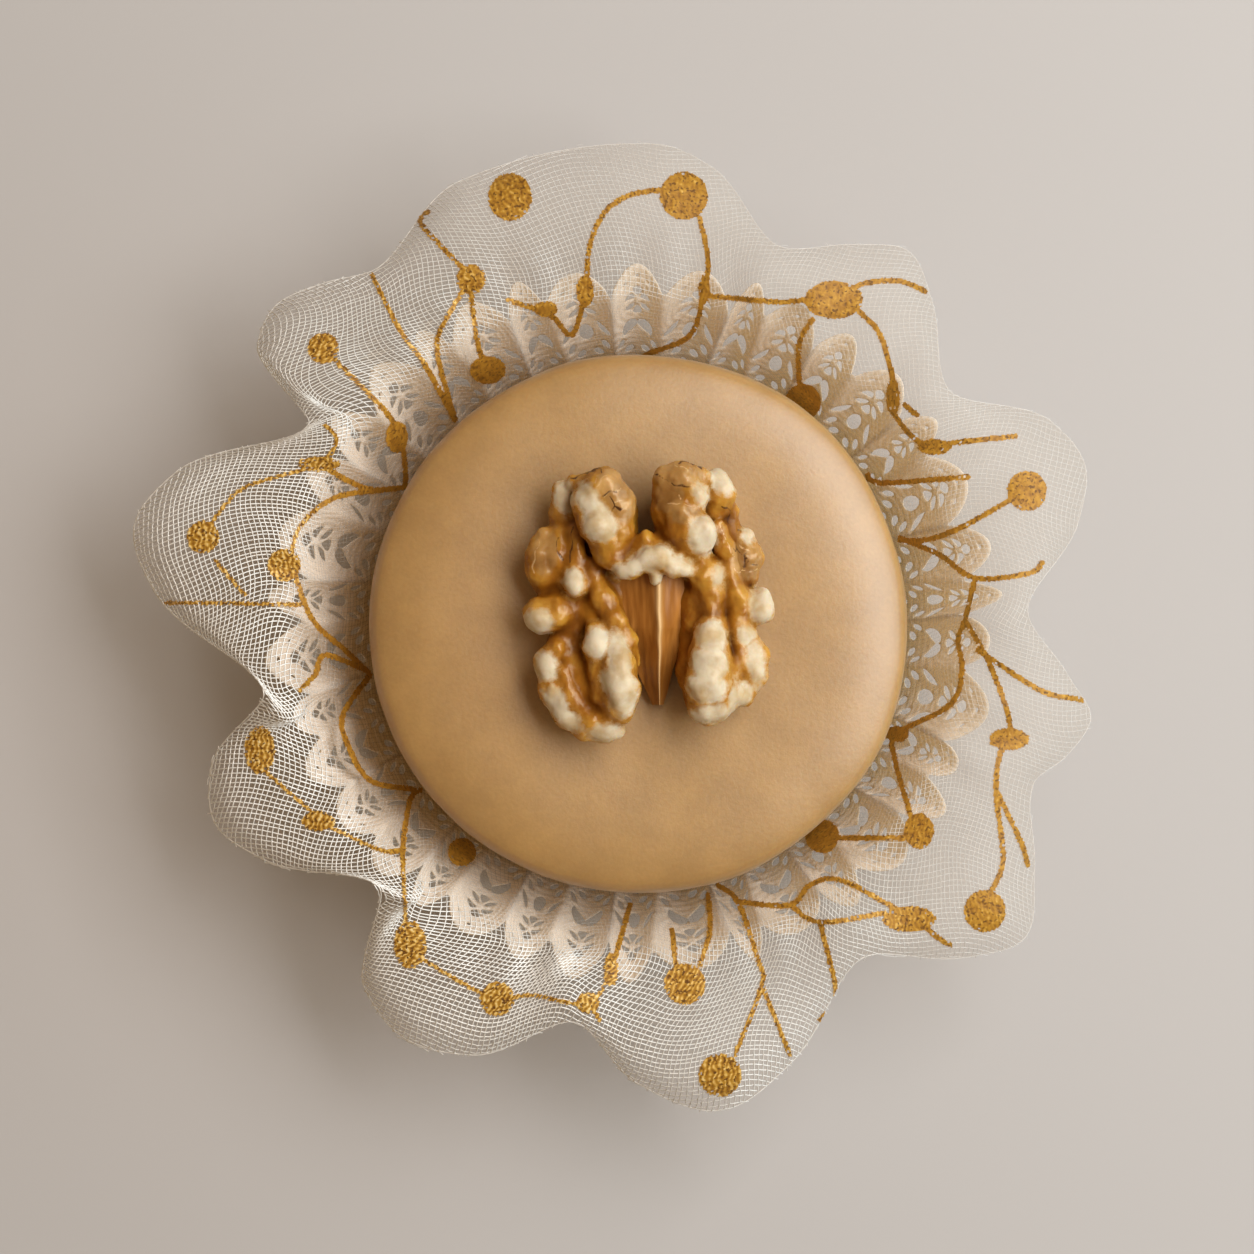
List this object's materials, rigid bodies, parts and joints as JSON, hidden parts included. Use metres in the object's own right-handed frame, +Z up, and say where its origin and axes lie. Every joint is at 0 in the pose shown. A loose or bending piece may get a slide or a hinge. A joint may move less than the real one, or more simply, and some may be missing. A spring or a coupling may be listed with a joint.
{
  "type": "covered almond and walnut cookie in its paper and fabric cases",
  "caption": "Round smooth covered almond cookie with a walnut half on top, in a sheer fabric cup with wavy petals and a pleated paper lace case.",
  "frame": {"origin": "on the cookie's axis, at the underside of the paper case", "axes": "+Z up through the cookie, +Y towards the walnut's two thick ears, +X to the right as seen from above"},
  "size_m": [0.0955, 0.0966, 0.031],
  "materials": {
    "lace_paper": "matte white die-cut paper",
    "organza": "sheer off-white plain-weave net, with gold foil print",
    "cookie": "smooth tan marzipan cover with a soft satin sheen",
    "walnut": "amber-brown skin with cream broken edges"
  },
  "bodies": {
    "root": {"lace_case": "lace_paper", "organza_cup": "organza", "cookie": "cookie", "walnut_half": "walnut"}
  },
  "joints": []
}
